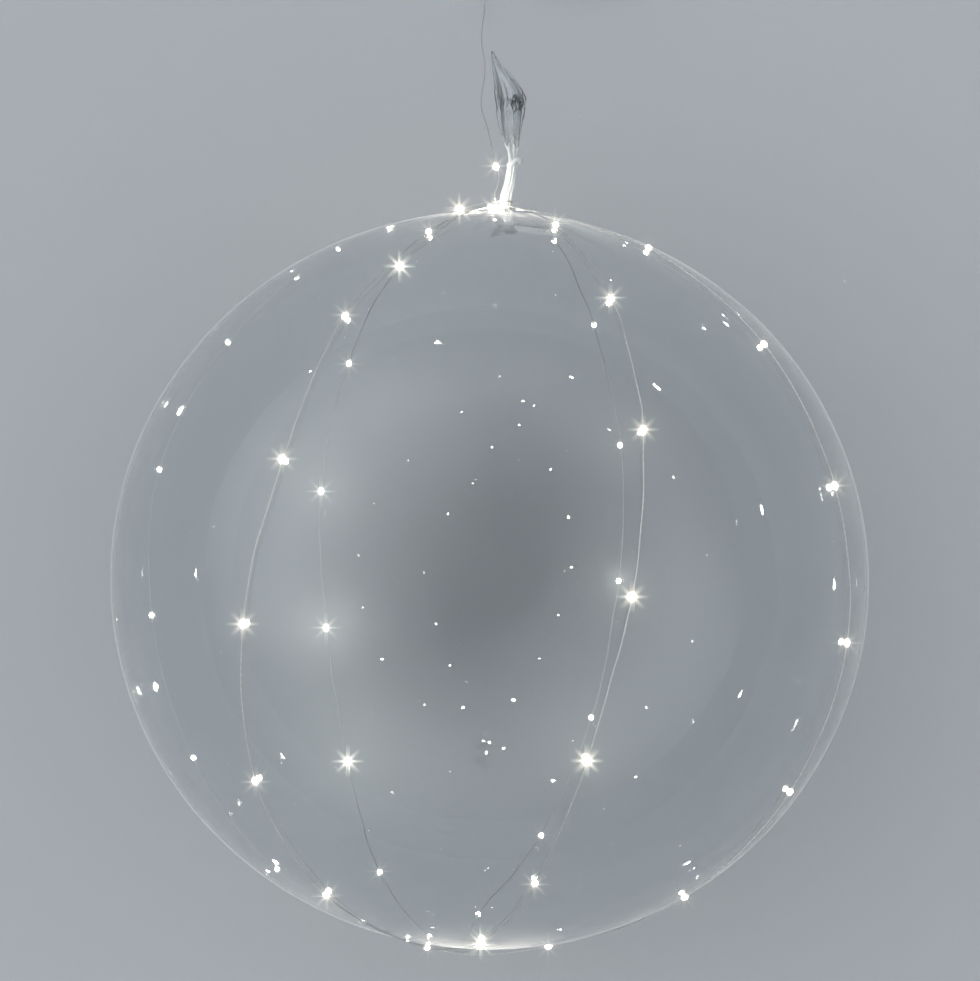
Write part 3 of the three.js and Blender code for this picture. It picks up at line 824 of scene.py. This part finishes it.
def string_materials(settings):
    """The wire's and the lamps' materials, made the first time that they are asked for."""
    made = bpy.data.materials.get
    wire = made("lacquered_tinned_wire") or wire_material()
    return wire, made("lit_epoxy_drop") or lamp_material(settings)


def lamp_drops(name, line, places, shares, settings, material):
    """One piece with a resin drop at each of the places on the line, as bright as its share."""
    along, side, across = carried_frames(line)
    drops = [
        resin_drop(line[at], along[at], side[at], across[at], settings.lamp_diameter, settings.lamp_length)
        for at in places
    ]
    glow = np.concatenate([glow * share for (_, glow), share in zip(drops, shares)])
    piece = mesh_piece(name, *joined([part for part, _ in drops]), material, {"glow": glow})
    piece.visible_diffuse = False
    return piece


def lamp_light(context, lamp_place, outward, settings, share):
    """A small point light just off a lamp, for the light that it throws on film, wire and floor."""
    light = bpy.data.lights.new("lamp_glow", "POINT")
    light.energy = settings.watts * share
    light.color = linear(settings.colour_code)[:3]
    light.shadow_soft_size = LIGHT_RADIUS
    lamp = bpy.data.objects.new("lamp_glow", light)
    lamp.location = lamp_place + LIGHT_OFFSET * np.asarray(outward)
    lamp.visible_camera = lamp.visible_glossy = lamp.visible_transmission = False
    context.scene.collection.objects.link(lamp)


class BALLOON_OT_film(bpy.types.Operator):
    """The clear film: envelope, gathered neck, knot and tail"""
    bl_idname = "balloon.film"
    bl_label = "Film"

    def execute(self, context):
        settings = context.scene.balloon_film
        film = film_material(settings)
        milky = [gathered_material(settings, name, milk) for _, name, milk in GATHER_BANDS]
        angle = ring_of(FILM_SIDES)
        ball = envelope_rows(angle, ENVELOPE_ROWS)
        height = gather_heights(GATHER_ROWS)
        rings = np.concatenate([ball, gather_rows(angle, height)])
        points = rings.reshape(-1, 3)
        pole = np.array([[0, -POLE_RADIUS, 0]])
        faces = grid_faces(len(rings), len(angle))
        ring = np.arange(len(angle))
        cap = np.stack([np.full(len(angle), len(points)), (ring + 1) % len(angle), ring], axis=1)
        every = np.vstack([points, pole]) + CENTRE
        body = mesh_piece("film_envelope", every, np.array(faces.tolist() + cap.tolist(), object), film)
        for material in milky:
            body.data.materials.append(material)
        band = gather_bands(angle, height)
        pressed = np.zeros(len(body.data.polygons), np.int32)
        first = len(ball) * len(angle)
        pressed[first:first + band.size] = band.reshape(-1)
        body.data.polygons.foreach_set("material_index", pressed)
        wall = body.modifiers.new("wall", "SOLIDIFY")
        wall.thickness = settings.wall
        wall.offset = -1
        wall.use_rim = True
        knot = mesh_piece("film_knot", *knot_skin(), milky[0])
        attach(body, "root")
        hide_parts("film_balloon")
        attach(knot, "root")
        return {"FINISHED"}


def knot_skin():
    """The knot: a pleated roll of film that winds once round the neck and rises and falls as it goes.

    A closed loop, 2.9 + 0.5 cos 2t from the knot's middle at the angle t, carries a circle of radius
    1.55 + 0.25 sin(t + 1) with pleats cos 7a and cos 11a that drift along it, in millimetres.
    """
    middle = np.array([KNOT_SIDEWAYS, POLE_RADIUS / MM + KNOT_HEIGHT, -float(film_droop(KNOT_HEIGHT))])
    t, a = ring_of(KNOT_RINGS), ring_of(KNOT_SIDES)
    reach = 2.9 + 0.5 * np.cos(2 * t)
    x, z = reach * np.cos(t), reach * np.sin(t)
    y = 1.3 * np.cos(t) + 0.8 * np.sin(2 * t)
    line = np.stack([x, y, z], axis=1)
    along = np.roll(line, -1, axis=0) - np.roll(line, 1, axis=0)
    along /= np.linalg.norm(along, axis=1)[:, None]
    out = np.stack([np.cos(t), 0 * t, np.sin(t)], axis=1)
    out -= along * (out * along).sum(1)[:, None]
    out /= np.linalg.norm(out, axis=1)[:, None]
    up = np.cross(along, out)
    radius = (1.55 + 0.25 * np.sin(t + 1))[:, None] * (
        1 + 0.13 * np.cos(7 * a[None] + 3 * t[:, None]) + 0.07 * np.cos(11 * a[None] - 5 * t[:, None]))
    skin = line[:, None] + radius[..., None] * (
        np.cos(a)[None, :, None] * out[:, None] + np.sin(a)[None, :, None] * up[:, None])
    points = (skin + middle).reshape(-1, 3) * MM + CENTRE
    return points, grid_faces(KNOT_RINGS, KNOT_SIDES, looped=True)


class BALLOON_OT_string(bpy.types.Operator):
    """The wire string round the balloon, with its lit resin drops"""
    bl_idname = "balloon.string"
    bl_label = "Lamp string"

    def execute(self, context):
        settings = context.scene.balloon_string
        wire, lit = string_materials(settings)
        route, is_lamp = string_route(settings)
        line, places = through(route, STRING_STEP)
        lamp_places = places[is_lamp]
        line = wandering(line, lamp_places, settings.wander)
        line = kept_off(line, 2 * settings.strand_radius + WIRE_GAP)
        wires = mesh_piece("string_pair", *twisted_pair(line, settings.strand_radius, settings.pitch), wire)
        shares = [lamp[3] for lamp in ROUND_ONE + ROUND_TWO + ROUND_THREE if lamp]
        lamps = lamp_drops("string_drops", line, lamp_places, shares, settings, lit)
        for at, share in zip(lamp_places, shares):
            outward = (line[at] - CENTRE) / np.linalg.norm(line[at] - CENTRE)
            lamp_light(context, line[at], outward, settings, share)
        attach(wires, "root")
        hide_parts("light_string")
        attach(lamps, "root")
        return {"FINISHED"}


class BALLOON_OT_box(bpy.types.Operator):
    """Finish of the battery box, which keeps its CAD shapes"""
    bl_idname = "balloon.box"
    bl_label = "Battery box"

    def execute(self, context):
        shell = moulded_material("moulded_white_abs", "#DADBDC", "#E4E5E5", 0.5, 0.45)
        dark = moulded_material("moulded_black_abs", "#222427", "#2E3033", 0.4, 0.5)
        for node, material in (
            ("battery_housing", shell), ("battery_cover", shell), ("switch_knob", dark),
        ):
            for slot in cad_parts[node].material_slots:
                slot.material = material
        return {"FINISHED"}


class BALLOON_PT_panel(bpy.types.Panel):
    """Lists the balloon's operators"""
    bl_label = "Balloon"
    bl_idname = "BALLOON_PT_panel"
    bl_space_type = "VIEW_3D"
    bl_region_type = "UI"
    bl_category = "Balloon"

    def draw(self, context):
        for operator in OPERATORS:
            self.layout.operator(operator.bl_idname)


SETTINGS = {"balloon_film": FilmSettings, "balloon_string": StringSettings, "balloon_stage": StageSettings}
OPERATORS = (BALLOON_OT_stage, BALLOON_OT_lead, BALLOON_OT_film, BALLOON_OT_string, BALLOON_OT_box)
CLASSES = (*SETTINGS.values(), *OPERATORS, BALLOON_PT_panel)


def register():
    """Registers the classes and gives the scene its settings."""
    for cls in CLASSES:
        bpy.utils.register_class(cls)
    for name, cls in SETTINGS.items():
        setattr(bpy.types.Scene, name, bpy.props.PointerProperty(type=cls))


def unregister():
    """Takes away what register added."""
    for name in SETTINGS:
        delattr(bpy.types.Scene, name)
    for cls in reversed(CLASSES):
        bpy.utils.unregister_class(cls)


def main():
    """Builds everything in order."""
    register()
    bpy.ops.balloon.stage()
    bpy.ops.balloon.lead()
    bpy.ops.balloon.film()
    bpy.ops.balloon.string()
    bpy.ops.balloon.box()


if __name__ == "__main__":
    main()
